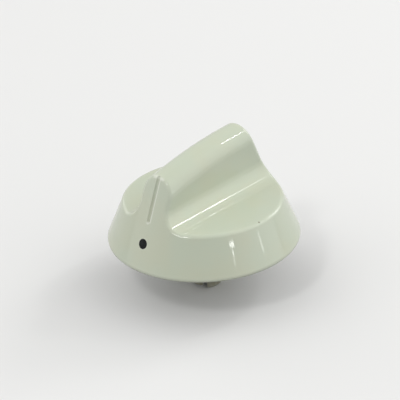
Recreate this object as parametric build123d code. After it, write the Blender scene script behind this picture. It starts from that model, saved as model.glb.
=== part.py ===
"""Push-on stove knob: a cone skirt with two scoops that leave a finger grip between them.

Millimetres, +Z towards the user. The origin is on the shaft axis at the open end of the hub, and the
pointer faces -Y. Every piece is drawn from the rim of the skirt, and is lifted by RIM_HEIGHT at the end.
"""
import os
from math import asin, cos, degrees, pi, radians, sin, sqrt, tan

from build123d import *

# Skirt
SKIRT_DIAMETER = 54.2  # over the rim
SKIRT_HALF_ANGLE = 22.75  # of the cone, in degrees
RIM_CHAMFER = 1.1
WALL = 2.2

# Grip and scoops, with heights from the rim
CROWN_RADIUS = 5.2  # of the grip's rounded top, seen from the front
CREST_HEIGHT = 29.2
CREST_BACK = 14.6  # the crest is highest this far behind the shaft axis
CREST_RADIUS = 136.0  # of the crest line, seen from the side
SCOOP_FLOOR = 12.2
VALLEY_RADIUS = 5.5  # where the floor of a scoop meets the grip
VALLEY_SHARE = 0.95  # the most of the grip's upright side that a valley takes up
SCOOP_EDGE_RADIUS = 1.4

# Pointer groove down the front of the grip
GROOVE_WIDTH = 1.2
GROOVE_DEPTH = 0.45
GROOVE_END = 13.4  # lower end, from the rim

# Index dot below the groove
DOT_DIAMETER = 2.9
DOT_DEPTH = 0.3
DOT_HEIGHT = 7.7  # from the rim

# Hub, split so that one side is a springy tongue with the flat for the shaft
RIM_HEIGHT = 14.8  # rim above the end of the tongue
TONGUE_STEP = 0.65  # how much the tongue is longer than the rest of the hub
HUB_DIAMETER = 9.2
HUB_TOP = 14.0  # from the rim
HUB_CHAMFER = 0.4
SLIT_ANGLE = 50.0  # each side of the middle of the tongue, in degrees
SLIT_WIDTH = 1.1
SLIT_LENGTH = 13.5
SLIT_MOUTH_RADIUS = 1.1  # of the corners where a slit meets the hub's end

# Socket for a D-shaft, with depths from the end of the tongue
LEAD_IN_DIAMETER = 6.4
LEAD_IN_DEPTH = 5.2
SHAFT_DIAMETER = 6.0
SHAFT_ACROSS_FLAT = 4.6
SOCKET_DEPTH = 17.0

# Ribs between the hub and the skirt
RIB_COUNT = 4
RIB_THICKNESS = 1.4
RIB_BOTTOM = 4.0  # from the rim

# Spring clip round the hub
CLIP_THICKNESS = 0.6
CLIP_WIDTH = 4.0
CLIP_SEAT_DEPTH = 0.4
CLIP_CLEARANCE = 0.03
CLIP_LOW = -9.0  # lower edge, from the rim
CLIP_GAP_ANGLE = 56.0  # in degrees

# Worked out from the sizes above
SLOPE = radians(SKIRT_HALF_ANGLE)
RIM_CORNER = SKIRT_DIAMETER / 2 + RIM_CHAMFER * sin(SLOPE)
CONE_TOP = CREST_HEIGHT + CROWN_RADIUS
REACH = SKIRT_DIAMETER / 2 + CROWN_RADIUS
HUB_RADIUS = HUB_DIAMETER / 2
CLIP_SEAT_RADIUS = HUB_RADIUS - CLIP_SEAT_DEPTH
SOCKET_START = LEAD_IN_DEPTH - RIM_HEIGHT


def rounded_corners(outline, corners, radius):
    """Face inside a closed outline, with the corners named by their places rounded."""
    face = make_face(outline)
    picked = [face.vertices().sort_by_distance(corner)[0] for corner in corners]
    return fillet(picked, radius)


def cone_radius(height):
    """Radius of the outer cone at a height above the rim."""
    return RIM_CORNER - height * tan(SLOPE)


def cone_profile(inset, bottom):
    """Half section of the skirt's cone, its side moved in by inset, from bottom to above the grip."""
    shift = inset / cos(SLOPE)
    outline = Polyline(
        (0, bottom),
        (cone_radius(bottom) - shift, bottom),
        (cone_radius(CONE_TOP) - shift, CONE_TOP),
        (0, CONE_TOP),
        close=True,
    )
    return make_face(outline)


def crest_axis():
    """Axis of the crest line's arc, far below the knob and square to the grip."""
    return Axis((0, CREST_BACK, CREST_HEIGHT - CREST_RADIUS), (1, 0, 0))


def crown(section):
    """A section that stands on the middle of the crown's circle, carried along the crest."""
    base_radius = CREST_RADIUS - CROWN_RADIUS
    back_angle = degrees(asin((REACH - CREST_BACK) / base_radius))
    front_angle = degrees(asin((REACH + CREST_BACK) / base_radius))
    upright = Plane.XZ.offset(-CREST_BACK) * Pos(0, CREST_HEIGHT - CROWN_RADIUS) * section
    return revolve(upright.rotate(crest_axis(), -back_angle), crest_axis(), back_angle + front_angle)


def valley_radius():
    """Radius of the valleys, limited by the lowest upright stretch of the grip's sides, at its front."""
    base_radius = CREST_RADIUS - CROWN_RADIUS
    reach = cone_radius(SCOOP_FLOOR) + CREST_BACK
    wall = CREST_HEIGHT - CREST_RADIUS + sqrt(base_radius**2 - reach**2) - SCOOP_FLOOR
    return min(VALLEY_RADIUS, VALLEY_SHARE * wall)


def scooped_block(inset):
    """Grip on a flat floor, longer and wider than the cone, with every surface moved in by inset.

    The crown of the grip is round outside. Inside it has three flats that keep within its circle.
    """
    radius = CROWN_RADIUS - inset
    floor = SCOOP_FLOOR - inset
    valleys = [(-radius, floor), (radius, floor)]
    outline = Polyline(
        (-REACH, -WALL),
        (-REACH, floor),
        valleys[0],
        (-radius, CONE_TOP),
        (radius, CONE_TOP),
        valleys[1],
        (REACH, floor),
        (REACH, -WALL),
        close=True,
    )
    section = rounded_corners(outline, valleys, valley_radius() + inset)
    bar = extrude(Plane.XZ * section, REACH, both=True)
    drum = Cylinder(CREST_RADIUS - CROWN_RADIUS, 2 * REACH, rotation=(0, 90, 0))
    below_crown = bar & Pos(crest_axis().position) * drum
    flats = [(radius * cos(turn), radius * sin(turn)) for turn in (0, pi / 4, 3 * pi / 4, pi)]
    top = Polyline(*flats) if inset else CenterArc((0, 0), radius, 0, 180)
    return below_crown + crown(make_face(top + Line(flats[-1], flats[0])))


def outer_form():
    """Outside of the moulding: the cone, cut down to the scoops and the grip, with rounded edges."""
    profile = cone_profile(0, 0)
    rim = profile.vertices().sort_by(Axis.X)[-1]
    skirt = revolve(Plane.XZ * chamfer(rim, RIM_CHAMFER), Axis.Z)
    form = skirt & scooped_block(0)
    side = form.faces().filter_by(GeomType.CONE)
    scoop_edges = side.edges().filter_by(
        lambda edge: edge.geom_type != GeomType.LINE and edge.center().Z > SCOOP_FLOOR / 2
    )
    return fillet(scoop_edges, SCOOP_EDGE_RADIUS)


def hub_blank(end):
    """Hub turned about the shaft axis, from its open end up to HUB_TOP, with its round lead-in bore."""
    lead_in = LEAD_IN_DIAMETER / 2
    outline = Polyline(
        (0, HUB_TOP),
        (0, SOCKET_START),
        (lead_in, SOCKET_START),
        (lead_in, end),
        (HUB_RADIUS - HUB_CHAMFER, end),
        (HUB_RADIUS, end + HUB_CHAMFER),
        (HUB_RADIUS, HUB_TOP),
        close=True,
    )
    return revolve(Plane.XZ * make_face(outline), Axis.Z)


def socket_room():
    """D-shaped room for the shaft above the lead-in, with the flat on the tongue's side."""
    flat = SHAFT_ACROSS_FLAT - SHAFT_DIAMETER / 2
    outline = Circle(SHAFT_DIAMETER / 2) & Pos(flat, 0) * Rectangle(
        2 * SHAFT_DIAMETER, 2 * SHAFT_DIAMETER, align=(Align.MAX, Align.CENTER)
    )
    return Pos(0, 0, SOCKET_START) * extrude(outline, SOCKET_DEPTH - LEAD_IN_DEPTH)


def slit(near_end, far_end):
    """Slit out from the shaft axis along X, its mouth rounded onto the hub's ends to either side of it."""
    edge = SLIT_WIDTH / 2
    flare = edge + 2 * SLIT_MOUTH_RADIUS
    top = SLIT_LENGTH - RIM_HEIGHT
    below = -RIM_HEIGHT - SLIT_WIDTH
    mouth = [(-edge, near_end), (edge, far_end)]
    outline = Polyline(
        (-edge, top),
        mouth[0],
        (-flare, near_end),
        (-flare, below),
        (flare, below),
        (flare, far_end),
        mouth[1],
        (edge, top),
        close=True,
    )
    return extrude(Plane.YZ * rounded_corners(outline, mouth, SLIT_MOUTH_RADIUS), HUB_DIAMETER)


def hub():
    """Hub with the longer tongue, the two slits beside it and the seat of the spring clip."""
    long_end = -RIM_HEIGHT
    short_end = TONGUE_STEP - RIM_HEIGHT
    reach = HUB_DIAMETER
    side = (reach * cos(radians(SLIT_ANGLE)), reach * sin(radians(SLIT_ANGLE)))
    wedge = make_face(Polyline((0, 0), (side[0], -side[1]), (reach, 0), side, close=True))
    tongue_room = Pos(0, 0, long_end) * extrude(wedge, SLIT_LENGTH)
    solid = hub_blank(short_end) + (hub_blank(long_end) & tongue_room)
    solid -= Rot(0, 0, SLIT_ANGLE) * slit(long_end, short_end)
    solid -= Rot(0, 0, -SLIT_ANGLE) * slit(short_end, long_end)
    seat = Circle(HUB_DIAMETER) - Circle(CLIP_SEAT_RADIUS)
    solid -= Pos(0, 0, CLIP_LOW - CLIP_CLEARANCE) * extrude(seat, CLIP_WIDTH + 2 * CLIP_CLEARANCE)
    return solid - socket_room()


def hollow(inset):
    """Cone and grip with every surface moved in by inset, open below the rim."""
    return revolve(Plane.XZ * cone_profile(inset, -WALL), Axis.Z) & scooped_block(inset)


def ribs():
    """Upright ribs from the hub to the skirt, ending halfway into the walls that they meet."""
    blade = Pos(0, 0, RIB_BOTTOM) * Box(
        REACH, RIB_THICKNESS, CREST_HEIGHT, align=(Align.MIN, Align.CENTER, Align.MIN)
    )
    step = 360 / RIB_COUNT
    blades = [Rot(0, 0, step * (index + 0.5)) * blade for index in range(RIB_COUNT)]
    core = Cylinder(HUB_RADIUS - WALL / 4, 4 * CREST_HEIGHT)
    reach = hollow(WALL / 2)
    return [(blade & reach) - core for blade in blades]


def front_plane(height, along_slope):
    """Plane on the front of the cone, whose Z runs up the slope or else out of the surface."""
    up_slope = (0, sin(SLOPE), cos(SLOPE))
    outward = (0, -cos(SLOPE), sin(SLOPE))
    return Plane((0, -cone_radius(height), height), (1, 0, 0), up_slope if along_slope else outward)


def pointer_groove():
    """Round-bottomed groove up the front of the cone, with a round lower end."""
    radius = (GROOVE_WIDTH**2 / 4 + GROOVE_DEPTH**2) / (2 * GROOVE_DEPTH)
    start = GROOVE_END + GROOVE_WIDTH / 2 * cos(SLOPE)
    bar = Cylinder(radius, CREST_HEIGHT, align=(Align.CENTER, Align.CENTER, Align.MIN))
    return front_plane(start, True) * Pos(0, GROOVE_DEPTH - radius, 0) * (bar + Sphere(radius))


def dot_room():
    """Round room for the dot, square to the cone and open outwards."""
    height = DOT_DEPTH + DOT_DIAMETER
    drum = Cylinder(DOT_DIAMETER / 2, height, align=(Align.CENTER, Align.CENTER, Align.MIN))
    return front_plane(DOT_HEIGHT, False) * Pos(0, 0, -DOT_DEPTH) * drum


def knob_body(outside):
    """The moulding: shell, hub and ribs as one piece, then the groove and the seat of the dot."""
    body = outside - hollow(WALL)
    body += hub()
    for rib in ribs():
        body += rib
    return body - pointer_groove() - dot_room()


def spring_clip():
    """Open steel band in the hub's seat, with its gap opposite the tongue."""
    inside = CLIP_SEAT_RADIUS + CLIP_CLEARANCE
    middle = inside + CLIP_THICKNESS / 2
    band = CenterArc((0, 0), middle, CLIP_GAP_ANGLE / 2 - 180, 360 - CLIP_GAP_ANGLE)
    return Pos(0, 0, CLIP_LOW) * extrude(trace(band, CLIP_THICKNESS), CLIP_WIDTH)


def main():
    os.makedirs("parts", exist_ok=True)
    outside = outer_form()
    pieces = {
        "knob_body": knob_body(outside),
        "spring_clip": spring_clip(),
        "index_dot": dot_room() & outside,
    }
    for name, piece in pieces.items():
        export_step(Pos(0, 0, RIM_HEIGHT) * piece, f"parts/{name}.step")


if __name__ == "__main__":
    main()
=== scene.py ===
"""Looks of the stove knob: glossy off-white moulding, black index dot and steel spring clip.

Metres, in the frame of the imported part: +Z out of the panel, the pointer faces -Y.
"""
from math import cos, radians, sin

import bpy
import numpy as np
from bpy.props import FloatProperty, FloatVectorProperty, PointerProperty
from bpy.types import Operator, Panel, PropertyGroup
from mathutils import Matrix, Vector


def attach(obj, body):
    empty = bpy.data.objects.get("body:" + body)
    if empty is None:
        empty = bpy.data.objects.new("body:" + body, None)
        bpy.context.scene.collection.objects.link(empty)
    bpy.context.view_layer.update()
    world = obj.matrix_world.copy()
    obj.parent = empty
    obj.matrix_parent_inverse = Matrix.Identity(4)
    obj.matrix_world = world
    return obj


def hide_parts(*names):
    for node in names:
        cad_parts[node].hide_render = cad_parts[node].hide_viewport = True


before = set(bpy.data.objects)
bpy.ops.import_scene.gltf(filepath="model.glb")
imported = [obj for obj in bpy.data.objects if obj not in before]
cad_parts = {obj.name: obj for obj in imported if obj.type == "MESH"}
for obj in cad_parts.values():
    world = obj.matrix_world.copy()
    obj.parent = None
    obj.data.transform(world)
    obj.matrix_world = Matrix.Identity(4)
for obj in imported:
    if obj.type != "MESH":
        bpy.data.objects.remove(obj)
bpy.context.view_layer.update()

bl_info = {
    "name": "Stove Knob",
    "version": (1, 0, 0),
    "blender": (4, 5, 0),
    "location": "3D View > Sidebar > Knob",
    "description": "Finishes a packed stove knob and sets it on a pale stage",
    "category": "Object",
}

BODY = "root"
MILLIMETRE = 0.001
RIM_HEIGHT = 14.8 * MILLIMETRE
CONE_ANGLE = radians(22.75)  # between the skirt's side and the shaft axis
SAME_PLACE = 0.001 * MILLIMETRE  # points this near to each other are one
SMOOTH_COSINE = cos(radians(20))  # CAD faces that meet at a smaller angle run into each other
FLAT_COSINE = 0.99999  # a CAD face is flat if all its normals agree this well
FLAT_WEIGHT = 1e6  # how much more the normals of a flat face count
ROLL_STEPS = 8  # rings of the rolled rim
ALIKE = 1.25  # two lifts agree if twice their summed squares is below this many times their sum squared
CONE_REACH = 0.01 * MILLIMETRE  # a point this near to the skirt's cone may be on it
CONE_COSINE = cos(radians(4))  # and is on it if its normal is within this angle of the cone's
GROOVE_END = (0.0, -21.95 * MILLIMETRE, 28.15 * MILLIMETRE)  # lower end of the pointer groove, where a glint is painted
SPECK = (21.95 * MILLIMETRE, -0.85 * MILLIMETRE, 26.9 * MILLIMETRE)  # of dirt, on the edge of the right scoop
EDGE_RUB_AND_SHEEN = 0.7  # share of the pale colour on the most paled edges, painted highlight and rubbing together
SPECK_DIRT = 0.8  # share of the dark colour in the speck of dirt
CORNER_DUST_AND_SHADE = 0.6  # share of the dark colour in the most sheltered corners, painted shade and settled grime together
SMUDGE_DULLING = 0.03  # roughness that smudges add
DUST_DULLING = 0.3  # roughness that settled grime adds in the sheltered corners
LEVEL_DULLING = 0.09  # roughness that level faces have over the rest
OCCLUSION_SAMPLES = 8
GLOW_EDGE = 0.2  # cosine of the angle at which a glow has faded out
GLOWS = (  # azimuth and elevation in degrees of the middle of each broad glow, and its strength
    (44, 10, -0.20),
    (104, 10, 0.62),
    (140, 12, 0.50),
    (284, 20, 0.40),
    (344, 17, 0.56),
)
UPRIGHT, LEANING, ALONG_GRIP = (0, 0, 1), (0, 0.11, 1), (0, 1, 0)
# Name, azimuth and elevation in degrees, distance, length and width in metres, brightness, lie of the length
LAMPS = (
    ("back_box", 170, 30, 0.8, 0.36, 0.28, 3.5, UPRIGHT),
    ("left_box", 258, 25, 0.8, 0.36, 0.28, 1.0, UPRIGHT),
    ("front_lamp", 12, 50, 0.8, 0.11, 0.11, 20.0, UPRIGHT),
    ("back_lamp", 151.5, 48.2, 0.79, 0.085, 0.036, 25.0, ALONG_GRIP),
    ("back_lamp_tail", 154.7, 45.0, 0.83, 0.025, 0.036, 7.0, ALONG_GRIP),
    ("side_lamp", 77.6, 14.85, 0.244, 0.0018, 0.022, 13.0, LEANING),
    ("side_lamp_tail", 77.6, 14.1, 0.245, 0.0024, 0.008, 8.0, LEANING),
    ("side_lamp_end", 77.4, 13.45, 0.245, 0.0028, 0.006, 3.0, LEANING),
    ("right_lamp", 115.1, 8.4, 0.241, 0.007, 0.009, 4.0, UPRIGHT),
)
FLOOR_RADIUS = 3.0
FLOOR_SIDES = 96


class KnobFinish(PropertyGroup):
    """Colours and gloss of the knob's own pieces."""

    plastic: FloatVectorProperty(
        name="Plastic", description="Colour of the moulding", subtype="COLOR",
        size=3, min=0, max=1, default=(0.568, 0.622, 0.494),
    )
    warm_plastic: FloatVectorProperty(
        name="Warm Plastic", description="Colour of the moulding where the melt set more slowly",
        subtype="COLOR", size=3, min=0, max=1, default=(0.583, 0.617, 0.478),
    )
    # pale colour of edges paled by rubbing and of the painted highlights on the edges and round the groove
    rubbed_plastic: FloatVectorProperty(
        name="Rubbed Plastic", description="Colour of the moulding along its rubbed edges", subtype="COLOR",
        size=3, min=0, max=1, default=(0.74, 0.77, 0.66),
    )
    # dark colour of a speck of dirt, and of painted shade on the hub and, with grime, in the sheltered
    # corners
    dust: FloatVectorProperty(
        name="Dust", description="Colour of kitchen dust in the sheltered corners", subtype="COLOR",
        size=3, min=0, max=1, default=(0.20, 0.17, 0.11),
    )
    gloss_roughness: FloatProperty(
        name="Gloss", description="Roughness of the polished outside", subtype="FACTOR",
        min=0, max=1, default=0.03,
    )
    ink: FloatVectorProperty(
        name="Ink", description="Colour of the index dot", subtype="COLOR",
        size=3, min=0, max=1, default=(0.006, 0.007, 0.007),
    )
    steel: FloatVectorProperty(
        name="Steel", description="Colour of the spring clip", subtype="COLOR",
        size=3, min=0, max=1, default=(0.56, 0.57, 0.58),
    )


class KnobStage(PropertyGroup):
    """Camera, floor and light."""

    azimuth: FloatProperty(
        name="Azimuth", description="Camera's turn about the shaft axis, from the pointer's side",
        subtype="ANGLE", default=radians(44.2),
    )
    elevation: FloatProperty(
        name="Elevation", description="Camera's height above the rim's plane",
        subtype="ANGLE", default=radians(29.2757),
    )
    roll: FloatProperty(
        name="Roll", description="Camera's turn about its own line of sight", subtype="ANGLE",
        default=radians(-2.4613),
    )
    distance: FloatProperty(
        name="Distance", description="From the camera to the middle of the rim", subtype="DISTANCE",
        unit="LENGTH", default=0.81,
    )
    lens: FloatProperty(
        name="Lens", description="Focal length in millimetres on a 36 mm sensor", default=259.28,
    )
    aim: FloatVectorProperty(
        name="Aim", description="Where the middle of the rim shows, right of and below the picture's middle, "
        "as a share of the focal length", size=2, default=(0.001463, 0.012063),
    )
    floor: FloatVectorProperty(
        name="Floor", description="Colour of the floor", subtype="COLOR", size=3, min=0, max=1,
        default=(0.80, 0.80, 0.79),
    )
    floor_bounce: FloatVectorProperty(
        name="Floor Bounce", description="Colour with which the floor lights the knob from below",
        subtype="COLOR", size=3, min=0, max=1, default=(0.12, 0.12, 0.118),
    )
    surround: FloatProperty(
        name="Surround", description="Strength of the even part of the light", min=0, default=0.41,
    )


def add_node(tree, kind, inputs=None, **settings):
    """A shader node with its settings, and its inputs set or linked by name or place."""
    node = tree.nodes.new(kind)
    for name, value in settings.items():
        setattr(node, name, value)
    for key, value in (inputs or {}).items():
        if isinstance(value, bpy.types.NodeSocket):
            tree.links.new(value, node.inputs[key])
        else:
            node.inputs[key].default_value = value
    return node


def maths(tree, operation, *values, clamp=False):
    """Result of a Math node on values that are numbers or sockets."""
    inputs = dict(enumerate(values))
    return add_node(tree, "ShaderNodeMath", inputs, operation=operation, use_clamp=clamp).outputs[0]


def spread(tree, value, low, high, first, last):
    """Value carried from low..high to first..last along a smooth step."""
    inputs = {"Value": value, 1: low, 2: high, 3: first, 4: last}
    return add_node(tree, "ShaderNodeMapRange", inputs, interpolation_type="SMOOTHSTEP").outputs[0]


def mixed(tree, share, first, second):
    """Colour between first and second, at a share that is a number or a socket."""
    inputs = {"Factor": share, 6: first, 7: second}
    return add_node(tree, "ShaderNodeMix", inputs, data_type="RGBA").outputs[2]


def opaque(colour):
    """Colour property with full alpha."""
    return (*colour, 1.0)


def new_group(name, inputs, outputs):
    """Empty node group with float inputs, given with their defaults, and named outputs."""
    tree = bpy.data.node_groups.new(name, "ShaderNodeTree")
    for label, value in inputs.items():
        tree.interface.new_socket(label, in_out="INPUT", socket_type="NodeSocketFloat").default_value = value
    for label in outputs:
        tree.interface.new_socket(label, in_out="OUTPUT", socket_type="NodeSocketFloat")
    return tree, tree.nodes.new("NodeGroupInput").outputs, tree.nodes.new("NodeGroupOutput")


def use_group(tree, build, **inputs):
    """A shared effect, built when it is first asked for, placed in a material with its own values."""
    group = bpy.data.node_groups.get(build.__name__) or build()
    node = add_node(tree, "ShaderNodeGroup", node_tree=group)
    for key, value in inputs.items():
        node.inputs[key].default_value = value
    return node.outputs


def object_noise(tree, per_metre, detail, roughness=0.5):
    """Noise on the object's own coordinates, its scale a number or a socket."""
    place = add_node(tree, "ShaderNodeTexCoord").outputs["Object"]
    inputs = {"Vector": place, "Scale": per_metre, "Detail": detail, "Roughness": roughness}
    return add_node(tree, "ShaderNodeTexNoise", inputs).outputs[0]


def moulded_surface():
    """Group: slow colour drift of a moulding and the fine unevenness of its skin."""
    tree, given, result = new_group("moulded_surface", {"Flow": 60.0, "Skin": 900.0}, ["Drift", "Height"])
    drift = spread(tree, object_noise(tree, given["Flow"], 2.0), 0.35, 0.65, 0.0, 1.0)
    tree.links.new(drift, result.inputs["Drift"])
    tree.links.new(object_noise(tree, given["Skin"], 3.0), result.inputs["Height"])
    return tree


def handling_marks():
    """Group: smudges left by fingers and cloths, as a mask that dulls the gloss."""
    tree, given, result = new_group("handling_marks", {"Size": 110.0}, ["Smudge"])
    smudge = spread(tree, object_noise(tree, given["Size"], 5.0, 0.62), 0.42, 0.72, 0.0, 1.0)
    tree.links.new(smudge, result.inputs["Smudge"])
    return tree


def open_share(tree, reach, inside=False):
    """Share of the directions that are open within reach, outside the surface or inside the piece."""
    return add_node(
        tree, "ShaderNodeAmbientOcclusion", {"Distance": reach},
        samples=OCCLUSION_SAMPLES, only_local=True, inside=inside,
    ).outputs["AO"]


def sheltered_dust_and_shade():
    """Group: painted shade with settled grime, dark where nearby walls shut out a share of the sky."""
    tree, given, result = new_group("sheltered_dust_and_shade", {"Reach": 0.001, "Patches": 700.0}, ["Mask"])
    shut = spread(tree, open_share(tree, given["Reach"]), 0.5, 0.97, 1.0, 0.0)
    patches = spread(tree, object_noise(tree, given["Patches"], 4.0), 0.3, 0.7, 0.35, 1.0)
    tree.links.new(maths(tree, "MULTIPLY", shut, patches), result.inputs["Mask"])
    return tree


def edge_wear_and_sheen():
    """Group: outer edges made bright, by rubbing and as painted highlight, found where the piece is thin
    below its surface.
    """
    tree, given, result = new_group("edge_wear_and_sheen", {"Reach": 0.001, "Rubs": 300.0}, ["Mask"])
    thin = spread(tree, open_share(tree, given["Reach"], inside=True), 0.55, 0.97, 1.0, 0.0)
    rubs = spread(tree, object_noise(tree, given["Rubs"], 3.0), 0.3, 0.7, 0.6, 1.0)
    tree.links.new(maths(tree, "MULTIPLY", thin, rubs), result.inputs["Mask"])
    return tree


def new_material(name):
    """Material with a Principled shader linked to its output."""
    material = bpy.data.materials.new(name)
    material.use_nodes = True
    tree = material.node_tree
    return material, tree, tree.nodes["Principled BSDF"]


def bumped(tree, height, depth):
    """Normal of a surface roughened by a height of up to depth metres."""
    return add_node(tree, "ShaderNodeBump", {"Height": height, "Strength": 1.0, "Distance": depth}).outputs[0]


def near_point(tree, place, point, core, reach):
    """Mask that is full within core of a point and fades out at reach, in metres."""
    apart = add_node(tree, "ShaderNodeVectorMath", {0: place, 1: point}, operation="DISTANCE")
    return spread(tree, apart.outputs["Value"], core, reach, 1.0, 0.0)


def rubbed_groove(tree, place):
    """Mask of painted highlights round the pointer groove, a light line and glints on its edges.

    It runs along the groove's right side, round its lower end and over the grip's front edge.
    """
    axes = add_node(tree, "ShaderNodeSeparateXYZ", {0: place}).outputs
    beside = spread(tree, axes["X"], 0.35 * MILLIMETRE, 0.55 * MILLIMETRE, 0.0, 1.0)
    fading = spread(tree, axes["X"], 0.8 * MILLIMETRE, 1.1 * MILLIMETRE, 1.0, 0.0)
    above_end = spread(tree, axes["Z"], 27.9 * MILLIMETRE, 28.4 * MILLIMETRE, 0.0, 1.0)
    beside = maths(tree, "MULTIPLY", maths(tree, "MULTIPLY", beside, fading), above_end)
    across = maths(tree, "ABSOLUTE", axes["X"])
    edge = spread(tree, axes["Z"], 39.3 * MILLIMETRE, 39.9 * MILLIMETRE, 0.0, 1.0)
    edge = maths(tree, "MULTIPLY", edge, spread(tree, across, 1.6 * MILLIMETRE, 2.4 * MILLIMETRE, 1.0, 0.0))
    in_front = spread(tree, axes["Y"], -16.8 * MILLIMETRE, -16.2 * MILLIMETRE, 1.0, 0.0)
    paled = maths(tree, "MULTIPLY", maths(tree, "MAXIMUM", beside, edge), in_front)
    # painted glint round the groove's lower end
    lower_end = near_point(tree, place, GROOVE_END, 0.25 * MILLIMETRE, 0.7 * MILLIMETRE)
    return maths(tree, "MAXIMUM", paled, lower_end)


def knob_plastic(finish):
    """Glossy off-white moulding with painted shade and grime in its corners, painted shade on its hub, a
    speck of dirt, edges paled by rubbing and painted highlight, painted highlights round the pointer groove,
    and dulled by handling.
    """
    material, tree, shader = new_material("knob_plastic")
    skin = use_group(tree, moulded_surface, Flow=70.0, Skin=1100.0)
    smudge = use_group(tree, handling_marks, Size=120.0)["Smudge"]
    dust = use_group(tree, sheltered_dust_and_shade, Reach=0.8 * MILLIMETRE)["Mask"]
    wear_and_sheen = use_group(tree, edge_wear_and_sheen, Reach=1.5 * MILLIMETRE)["Mask"]
    plastic = mixed(tree, skin["Drift"], opaque(finish.plastic), opaque(finish.warm_plastic))
    place = add_node(tree, "ShaderNodeTexCoord").outputs["Object"]
    # outer edges and the pointer groove paled: painted highlight, and on the edges also rubbing
    worn_and_highlit = maths(tree, "MAXIMUM", maths(tree, "MULTIPLY", wear_and_sheen, EDGE_RUB_AND_SHEEN), rubbed_groove(tree, place))
    plastic = mixed(tree, worn_and_highlit, plastic, opaque(finish.rubbed_plastic))
    height = add_node(tree, "ShaderNodeSeparateXYZ", {0: place}).outputs["Z"]
    # painted shade on the hub under the skirt, in patches, darker towards its lower end
    on_hub = spread(tree, height, 9 * MILLIMETRE, 14 * MILLIMETRE, 1.0, 0.0)
    hub_patches = spread(tree, object_noise(tree, 450.0, 4.0), 0.25, 0.7, 0.35, 0.8)
    hub_shade = maths(tree, "MULTIPLY", on_hub, hub_patches)
    speck = near_point(tree, place, SPECK, 0.12 * MILLIMETRE, 0.42 * MILLIMETRE)
    speck_and_hub_shade = maths(tree, "MULTIPLY_ADD", speck, SPECK_DIRT, hub_shade)
    # sheltered corners darkened by painted shade and grime, the hub by painted shade, the speck by dirt
    dirt_and_shade_share = maths(tree, "MULTIPLY_ADD", dust, CORNER_DUST_AND_SHADE, speck_and_hub_shade, clamp=True)
    tree.links.new(mixed(tree, dirt_and_shade_share, plastic, opaque(finish.dust)), shader.inputs["Base Color"])
    dull = maths(tree, "MULTIPLY_ADD", smudge, SMUDGE_DULLING, finish.gloss_roughness)
    facing = add_node(tree, "ShaderNodeTexCoord").outputs["Normal"]
    upward = add_node(tree, "ShaderNodeSeparateXYZ", {0: facing}).outputs["Z"]
    level = spread(tree, upward, 0.985, 1.0, 0.0, 1.0)
    dull = maths(tree, "MULTIPLY_ADD", level, LEVEL_DULLING, dull)
    tree.links.new(maths(tree, "MULTIPLY_ADD", dust, DUST_DULLING, dull), shader.inputs["Roughness"])
    tree.links.new(bumped(tree, skin["Height"], 0.0002 * MILLIMETRE), shader.inputs["Normal"])
    shader.inputs["IOR"].default_value = 1.5
    return material


def dot_ink(finish):
    """Black ink with a low sheen, its surface slightly grainy."""
    material, tree, shader = new_material("dot_ink")
    skin = use_group(tree, moulded_surface, Flow=900.0, Skin=9000.0)
    smudge = use_group(tree, handling_marks, Size=700.0)["Smudge"]
    paler = tuple(2.2 * value for value in finish.ink)
    tree.links.new(mixed(tree, skin["Drift"], opaque(finish.ink), opaque(paler)), shader.inputs["Base Color"])
    tree.links.new(maths(tree, "MULTIPLY_ADD", smudge, 0.15, 0.3), shader.inputs["Roughness"])
    tree.links.new(bumped(tree, skin["Height"], 0.002 * MILLIMETRE), shader.inputs["Normal"])
    shader.inputs["Specular IOR Level"].default_value = 0.12
    return material


def spring_steel(finish):
    """Rolled steel strip with fine lines along the band and a little handling dirt."""
    material, tree, shader = new_material("spring_steel")
    smudge = use_group(tree, handling_marks, Size=600.0)["Smudge"]
    place = add_node(tree, "ShaderNodeTexCoord").outputs["Object"]
    axes = add_node(tree, "ShaderNodeSeparateXYZ", {0: place}).outputs
    turn = maths(tree, "MULTIPLY", maths(tree, "ARCTAN2", axes["Y"], axes["X"]), 0.0002)
    along = add_node(tree, "ShaderNodeCombineXYZ", {"X": turn, "Y": axes["Z"], "Z": 0.0}).outputs[0]
    lines = add_node(tree, "ShaderNodeTexNoise", {"Vector": along, "Scale": 9000.0, "Detail": 4.0}).outputs[0]
    # outer edges of the strip made brighter, by rubbing and as painted highlight
    wear_and_sheen = use_group(tree, edge_wear_and_sheen, Reach=0.25 * MILLIMETRE, Rubs=900.0)["Mask"]
    darker = tuple(0.72 * value for value in finish.steel)
    brighter = tuple(min(1.2 * value, 1.0) for value in finish.steel)
    rolled = mixed(tree, lines, opaque(darker), opaque(finish.steel))
    tree.links.new(mixed(tree, wear_and_sheen, rolled, opaque(brighter)), shader.inputs["Base Color"])
    rough = maths(tree, "MULTIPLY_ADD", lines, 0.22, 0.18)
    tree.links.new(maths(tree, "MULTIPLY_ADD", smudge, 0.12, rough), shader.inputs["Roughness"])
    tree.links.new(bumped(tree, lines, 0.003 * MILLIMETRE), shader.inputs["Normal"])
    shader.inputs["Metallic"].default_value = 1.0
    return material


def cad_node(name):
    """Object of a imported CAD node."""
    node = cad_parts.get(name)
    if node is None:
        raise RuntimeError(f"the packed part has no node {name}")
    return node


def dress(name, material):
    """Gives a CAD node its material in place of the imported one."""
    mesh = cad_node(name).data
    mesh.materials.clear()
    mesh.materials.append(material)


def unit(vectors):
    """Rows of an array, each divided by its length."""
    return vectors / np.linalg.norm(vectors, axis=-1, keepdims=True)


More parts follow.
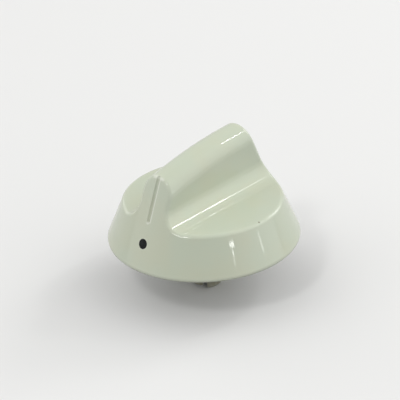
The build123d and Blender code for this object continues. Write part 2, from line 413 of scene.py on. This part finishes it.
def read_triangles(mesh):
    """Points, triangles and point normals of a CAD mesh, in which every CAD face has points of its own."""
    points = np.empty((len(mesh.vertices), 3), np.float32)
    mesh.vertices.foreach_get("co", points.ravel())
    corners = np.empty(len(mesh.loops), np.int32)
    mesh.loops.foreach_get("vertex_index", corners)
    directions = np.empty((corners.size, 3), np.float32)
    mesh.corner_normals.foreach_get("vector", directions.ravel())
    normals = np.empty(points.shape)
    normals[corners] = directions
    return points.astype(float), corners.reshape(-1, 3), normals


def face_numbers(triangles, count):
    """For each point the lowest number of any point of its CAD face, handed on from triangle to triangle."""
    number = np.arange(count)
    lower = number.copy()
    while True:
        np.minimum.at(lower, triangles, number[triangles].min(axis=1, keepdims=True))
        lower = lower[lower]
        if np.array_equal(lower, number):
            return number
        number = lower.copy()


def evened_normals(points, place, triangles, normals):
    """Normals that agree where CAD faces run smoothly into each other.

    A point's normal becomes the mean of the normals at its place that are within the smooth angle of its own.
    Each is weighed by the square of its CAD face's area, because a small fillet has the least exact normals
    along its edges. The normals of flat faces are exact, so they weigh far more.
    """
    face = face_numbers(triangles, place.size)
    least_cosine = np.ones(place.size)
    np.minimum.at(least_cosine, face, np.einsum("ij,ij->i", normals, normals[face]))
    corners = points[triangles]
    area = np.linalg.norm(np.cross(corners[:, 1] - corners[:, 0], corners[:, 2] - corners[:, 0]), axis=1)
    face_area = np.bincount(face[triangles[:, 0]], area, place.size)
    weight = face_area[face] ** 2 * np.where(least_cosine[face] > FLAT_COSINE, FLAT_WEIGHT, 1.0)
    weighed = normals * weight[:, None]
    total = weighed.copy()
    order = np.argsort(place, kind="stable")
    for step in range(1, np.bincount(place).max()):
        first, second = order[:-step], order[step:]
        cosine = np.einsum("ij,ij->i", normals[first], normals[second])
        close = (place[first] == place[second]) & (cosine > SMOOTH_COSINE)
        np.add.at(total, first[close], weighed[second[close]])
        np.add.at(total, second[close], weighed[first[close]])
    return unit(total)


def by_turn(points, chosen):
    """Numbers of the chosen points in the order of their turn about the shaft axis, and those turns."""
    turn = np.arctan2(points[chosen, 1], points[chosen, 0])
    order = np.argsort(turn)
    return np.flatnonzero(chosen)[order], turn[order]


def strip(upper, upper_turn, lower, lower_turn):
    """Triangles between two rings whose points stand at different turns.

    Every step along a ring makes a triangle with the point of the other ring that was reached last before it.
    """
    def reached(turn, other_turn, side):
        ends = np.append(turn[1:], turn[0] + 2 * np.pi)
        lap = np.append(other_turn, other_turn[0] + 2 * np.pi)
        return (np.searchsorted(lap, ends, side) - 1) % other_turn.size

    below = lower[reached(upper_turn, lower_turn, "left")]
    above = upper[reached(lower_turn, upper_turn, "right")]
    return np.vstack([
        np.stack([below, np.roll(upper, -1), upper], axis=1),
        np.stack([lower, np.roll(lower, -1), above], axis=1),
    ])


def revolved(section, turn):
    """Points of a half section (radius, height), each carried round the shaft axis to all turns."""
    round_axis = np.stack([np.cos(turn), np.sin(turn)], axis=1)
    flat = section[:, None, :1] * round_axis
    height = np.broadcast_to(section[:, None, 1:], (*flat.shape[:2], 1))
    return np.concatenate([flat, height], axis=2)


def roll_section(upper_radius, lower_radius, corner_radius):
    """Half section of the rolled rim and its normals, from the cone down to just short of the underside.

    With the skirt's sharp corner C, U up the cone and L on the underside, a point of the roll is
    C + (U - C)(1 - sin t) + (L - C)(1 - cos t) for t from nought to a quarter turn, which leaves both sides
    without an edge. U is so far up the cone that the roll is just as wide as the chamfer.
    """
    leg = corner_radius - lower_radius
    cut = corner_radius - upper_radius
    narrowing = (2 * leg * cut - cut**2) / (2 * (leg - cut))
    to_cone = np.array([-narrowing, narrowing / np.tan(CONE_ANGLE)])
    to_underside = np.array([-leg, 0.0])
    angle = np.linspace(0, np.pi / 2, ROLL_STEPS + 1)[:-1, None]
    section = to_cone * (1 - np.sin(angle)) + to_underside * (1 - np.cos(angle))
    section += np.array([corner_radius, RIM_HEIGHT])
    along = to_underside * np.sin(angle) - to_cone * np.cos(angle)
    return section, unit(np.stack([-along[:, 1], along[:, 0]], axis=1))


def skirt_corner(points):
    """Radius at which the skirt's cone would meet the rim's plane, from the widest ring above that plane."""
    radius = np.hypot(points[:, 0], points[:, 1])
    rise = points[radius > radius.max() - SAME_PLACE, 2].mean() - RIM_HEIGHT
    return radius.max() + rise * np.tan(CONE_ANGLE)


def roll_rim(points, triangles, corner_normals, corner_radius):
    """Surface with its rim rolled: the chamfer's triangles give way to rings of the roll's half section."""
    radius = np.hypot(points[:, 0], points[:, 1])
    on_plane = np.abs(points[:, 2] - RIM_HEIGHT) < SAME_PLACE
    widest = radius > radius.max() - SAME_PLACE
    lowest = on_plane & (radius > radius[on_plane].max() - SAME_PLACE)
    chamfer = widest[triangles].any(axis=1) & lowest[triangles].any(axis=1)
    if not chamfer.any():
        raise RuntimeError("the rim has no chamfer to roll")
    upper, upper_turn = by_turn(points, widest)
    lower, lower_turn = by_turn(points, lowest)
    section, section_normals = roll_section(radius.max(), radius[lower].mean(), corner_radius)
    rows = revolved(section, upper_turn)
    rings = np.arange(ROLL_STEPS * upper.size).reshape(ROLL_STEPS, -1) + len(points) - upper.size
    rings[0] = upper
    points[upper] = rows[0]
    points = np.vstack([points, rows[1:].reshape(-1, 3)])
    over, under = rings[:-1], rings[1:]
    next_over, next_under = np.roll(over, -1, axis=1), np.roll(under, -1, axis=1)
    faces = np.vstack([
        np.stack([under, next_under, next_over], axis=2).reshape(-1, 3),
        np.stack([under, next_over, over], axis=2).reshape(-1, 3),
        strip(rings[-1], upper_turn, lower, lower_turn),
    ])
    normals = np.zeros_like(points)
    normals[lower] = (0, 0, -1)
    normals[rings] = revolved(section_normals, upper_turn)
    return (
        points,
        np.vstack([triangles[~chamfer], faces]),
        np.concatenate([corner_normals[~chamfer], normals[faces]]),
    )


def curved_finer(points, triangles, corner_normals):
    """Surface with each triangle split in four, its new points lifted from the straight sides onto the curve.

    A side from P to Q with the normals M and N at its ends gets the middle of the cubic that leaves both ends
    along their tangent planes, (P + Q)/2 - ((Q - P).M M - (Q - P).N N)/8, with the normal M + N. A sharp
    side, for which its two triangles ask different lifts, stays straight.
    """
    along = points[np.roll(triangles, -1, axis=1)] - points[triangles]
    near, far = corner_normals, np.roll(corner_normals, -1, axis=1)
    near_rise = (along * near).sum(axis=2, keepdims=True) * near
    far_rise = (along * far).sum(axis=2, keepdims=True) * far
    pairs = np.sort(np.stack([triangles, np.roll(triangles, -1, axis=1)], axis=2), axis=2).reshape(-1, 2)
    sides, side = np.unique(pairs, axis=0, return_inverse=True)
    side = side.reshape(-1, 3)
    lift = (far_rise - near_rise) / 8
    both = np.zeros((len(sides), 3))
    np.add.at(both, side, lift)
    squares = np.bincount(side.ravel(), (lift**2).sum(axis=2).ravel())
    smooth = 2 * squares < ALIKE * (both**2).sum(axis=1)
    middles = points[sides].mean(axis=1) + np.where(smooth[:, None], both / 2, 0.0)
    numbers = np.concatenate([triangles, side + len(points)], axis=1)
    normals = np.concatenate([corner_normals, unit(near + far)], axis=1)
    quarters = np.array([[0, 3, 5], [3, 1, 4], [5, 4, 2], [3, 4, 5]])
    return (
        np.vstack([points, middles]),
        numbers[:, quarters].reshape(-1, 3),
        normals[:, quarters].reshape(-1, 3, 3),
    )


def cone_normals(points, triangles, corner_normals, corner_radius):
    """Corner normals, exact on the skirt's cone: outwards at the point's turn, and up by the cone's angle.

    A corner is on the cone if it is as far from the axis as the cone at its height, and its normal is
    nearly the cone's.
    """
    radius = np.hypot(points[:, 0], points[:, 1])
    cone_radius = corner_radius - (points[:, 2] - RIM_HEIGHT) * np.tan(CONE_ANGLE)
    outward = points[:, :2] / np.maximum(radius, SAME_PLACE)[:, None]
    exact = np.column_stack([outward * cos(CONE_ANGLE), np.full(radius.size, sin(CONE_ANGLE))])[triangles]
    on_cone = (np.abs(radius - cone_radius) < CONE_REACH)[triangles]
    on_cone &= np.einsum("ijk,ijk->ij", exact, corner_normals) > CONE_COSINE
    return np.where(on_cone[..., None], exact, corner_normals)


def moulding_surface(node):
    """The moulded body as one closed surface.

    Its CAD faces are joined, smooth where they run into each other, and its rim is rolled. Then each
    triangle is split in four on the curve, and the normals on the skirt's cone are made exact.
    """
    points, triangles, normals = read_triangles(node.data)
    cells = np.round(points / SAME_PLACE).astype(np.int64)
    _, chosen, place = np.unique(cells, axis=0, return_index=True, return_inverse=True)
    place = place.ravel()
    corner_normals = evened_normals(points, place, triangles, normals)[triangles]
    points, triangles = points[chosen], place[triangles]
    corner_radius = skirt_corner(points)
    points, triangles, corner_normals = roll_rim(points, triangles, corner_normals, corner_radius)
    points, triangles, corner_normals = curved_finer(points, triangles, corner_normals)
    corner_normals = cone_normals(points, triangles, corner_normals, corner_radius)
    mesh = bpy.data.meshes.new("moulding")
    mesh.from_pydata(points.tolist(), [], triangles.tolist())
    mesh.shade_smooth()
    mesh.normals_split_custom_set(corner_normals.reshape(-1, 3).tolist())
    return mesh


class KNOB_OT_moulding(Operator):
    """Finishes the moulded body of the knob"""

    bl_idname = "knob.moulding"
    bl_label = "Moulding"

    def execute(self, context):
        mesh = moulding_surface(cad_node("knob_body"))
        mesh.materials.append(knob_plastic(context.scene.knob_finish))
        moulding = bpy.data.objects.new("moulding", mesh)
        context.collection.objects.link(moulding)
        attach(moulding, BODY)
        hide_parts("knob_body")
        return {"FINISHED"}


class KNOB_OT_dot(Operator):
    """Finishes the index dot"""

    bl_idname = "knob.dot"
    bl_label = "Index Dot"

    def execute(self, context):
        dress("index_dot", dot_ink(context.scene.knob_finish))
        return {"FINISHED"}


class KNOB_OT_clip(Operator):
    """Finishes the spring clip on the hub"""

    bl_idname = "knob.clip"
    bl_label = "Spring Clip"

    def execute(self, context):
        dress("spring_clip", spring_steel(context.scene.knob_finish))
        return {"FINISHED"}


def towards(azimuth, elevation):
    """Unit direction at an azimuth from -Y towards +X and an elevation, in radians."""
    return Vector((sin(azimuth) * cos(elevation), -cos(azimuth) * cos(elevation), sin(elevation)))


def add_camera(stage):
    """Camera on the photograph's line of sight, rolled and aimed a little past the middle of the rim."""
    back = towards(stage.azimuth, stage.elevation)
    level = Vector((cos(stage.azimuth), sin(stage.azimuth), 0))
    upright = back.cross(level)
    right = level * cos(stage.roll) + upright * sin(stage.roll)
    up = upright * cos(stage.roll) - level * sin(stage.roll)
    toward_camera = (back + right * stage.aim[0] - up * stage.aim[1]).normalized()
    side = up.cross(toward_camera).normalized()
    turn = Matrix((side, toward_camera.cross(side), toward_camera)).transposed().to_4x4()
    lens = bpy.data.cameras.new("camera")
    lens.lens = stage.lens
    lens.clip_start = 0.01
    camera = bpy.data.objects.new("camera", lens)
    place = Vector((0, 0, RIM_HEIGHT)) + back * stage.distance
    camera.matrix_world = Matrix.Translation(place) @ turn
    bpy.context.collection.objects.link(camera)
    bpy.context.scene.camera = camera


def add_lamp(name, azimuth, elevation, distance, length, width, brightness, lie):
    """Rectangular lamp that faces the middle of the rim from an azimuth and elevation in degrees.

    Its length is as near to the direction lie as it can be, and brightness is in units of a white surround.
    """
    light = bpy.data.lights.new(name, "AREA")
    light.shape = "RECTANGLE"
    light.size = width
    light.size_y = length
    light.energy = brightness * np.pi * width * length
    lamp = bpy.data.objects.new(name, light)
    outward = towards(radians(azimuth), radians(elevation))
    side = Vector(lie).cross(outward).normalized()
    turn = Matrix((side, outward.cross(side), outward)).transposed().to_4x4()
    lamp.matrix_world = Matrix.Translation(Vector((0, 0, RIM_HEIGHT)) + outward * distance) @ turn
    lamp.visible_camera = False
    bpy.context.collection.objects.link(lamp)


def add_floor(stage):
    """Flat round floor under the hub's end: triangles from its middle to a ring of points at even turns."""
    turn = np.linspace(0, 2 * np.pi, FLOOR_SIDES + 1)[:-1]
    ring = FLOOR_RADIUS * np.stack([np.cos(turn), np.sin(turn), np.zeros(FLOOR_SIDES)], axis=1)
    points = np.vstack([np.zeros((1, 3)), ring])
    first = np.arange(FLOOR_SIDES) + 1
    faces = np.stack([np.zeros_like(first), first, first % FLOOR_SIDES + 1], axis=1)
    mesh = bpy.data.meshes.new("floor")
    mesh.from_pydata(points.tolist(), [], faces.tolist())
    material, tree, shader = new_material("floor")
    path = add_node(tree, "ShaderNodeLightPath").outputs
    # The camera and reflections see the floor's own colour, and its darker bounce lights the knob
    seen = maths(tree, "MAXIMUM", path["Is Camera Ray"], path["Is Glossy Ray"])
    seen = maths(tree, "MAXIMUM", seen, path["Is Transmission Ray"])
    colour = mixed(tree, seen, opaque(stage.floor_bounce), opaque(stage.floor))
    tree.links.new(colour, shader.inputs["Base Color"])
    shader.inputs["Roughness"].default_value = 0.9
    below = add_node(tree, "ShaderNodeNewGeometry").outputs["Backfacing"]
    clear = add_node(tree, "ShaderNodeBsdfTransparent").outputs[0]
    surface = add_node(tree, "ShaderNodeMixShader", {0: below, 1: shader.outputs[0], 2: clear})
    tree.links.new(surface.outputs[0], tree.nodes["Material Output"].inputs["Surface"])
    mesh.materials.append(material)
    floor = bpy.data.objects.new("floor", mesh)
    bpy.context.collection.objects.link(floor)


def add_surround(stage):
    """Pale light from all round: an even part and broad glows, as from soft boxes and pale walls."""
    world = bpy.data.worlds.new("surround")
    world.use_nodes = True
    tree = world.node_tree
    place = add_node(tree, "ShaderNodeTexCoord").outputs["Generated"]
    strength = stage.surround
    for azimuth, elevation, glow in GLOWS:
        middle = towards(radians(azimuth), radians(elevation))
        facing = add_node(tree, "ShaderNodeVectorMath", {0: place, 1: middle}, operation="DOT_PRODUCT")
        share = spread(tree, facing.outputs["Value"], GLOW_EDGE, 1.0, 0.0, 1.0)
        strength = maths(tree, "MULTIPLY_ADD", share, glow, strength)
    background = tree.nodes["Background"]
    background.inputs["Color"].default_value = (1.0, 1.0, 1.0, 1.0)
    tree.links.new(strength, background.inputs["Strength"])
    bpy.context.scene.world = world


class KNOB_OT_stage(Operator):
    """Sets the camera, the floor and the soft light"""

    bl_idname = "knob.stage"
    bl_label = "Stage"

    def execute(self, context):
        stage = context.scene.knob_stage
        add_camera(stage)
        add_floor(stage)
        add_surround(stage)
        for lamp in LAMPS:
            add_lamp(*lamp)
        context.scene.view_settings.view_transform = "Standard"
        return {"FINISHED"}


class VIEW3D_PT_knob(Panel):
    """Lists the knob's pieces, finishes and stage"""

    bl_label = "Stove Knob"
    bl_space_type = "VIEW_3D"
    bl_region_type = "UI"
    bl_category = "Knob"

    def draw(self, context):
        layout = self.layout
        for operator in OPERATORS:
            layout.operator(operator.bl_idname)
        for group in (context.scene.knob_finish, context.scene.knob_stage):
            for name in type(group).__annotations__:
                layout.prop(group, name)


OPERATORS = (KNOB_OT_moulding, KNOB_OT_dot, KNOB_OT_clip, KNOB_OT_stage)
CLASSES = (KnobFinish, KnobStage, *OPERATORS, VIEW3D_PT_knob)


def register():
    for cls in CLASSES:
        bpy.utils.register_class(cls)
    bpy.types.Scene.knob_finish = PointerProperty(type=KnobFinish)
    bpy.types.Scene.knob_stage = PointerProperty(type=KnobStage)


def unregister():
    del bpy.types.Scene.knob_stage
    del bpy.types.Scene.knob_finish
    for cls in reversed(CLASSES):
        bpy.utils.unregister_class(cls)


def main():
    register()
    bpy.ops.knob.moulding()
    bpy.ops.knob.dot()
    bpy.ops.knob.clip()
    bpy.ops.knob.stage()


if __name__ == "__main__":
    main()
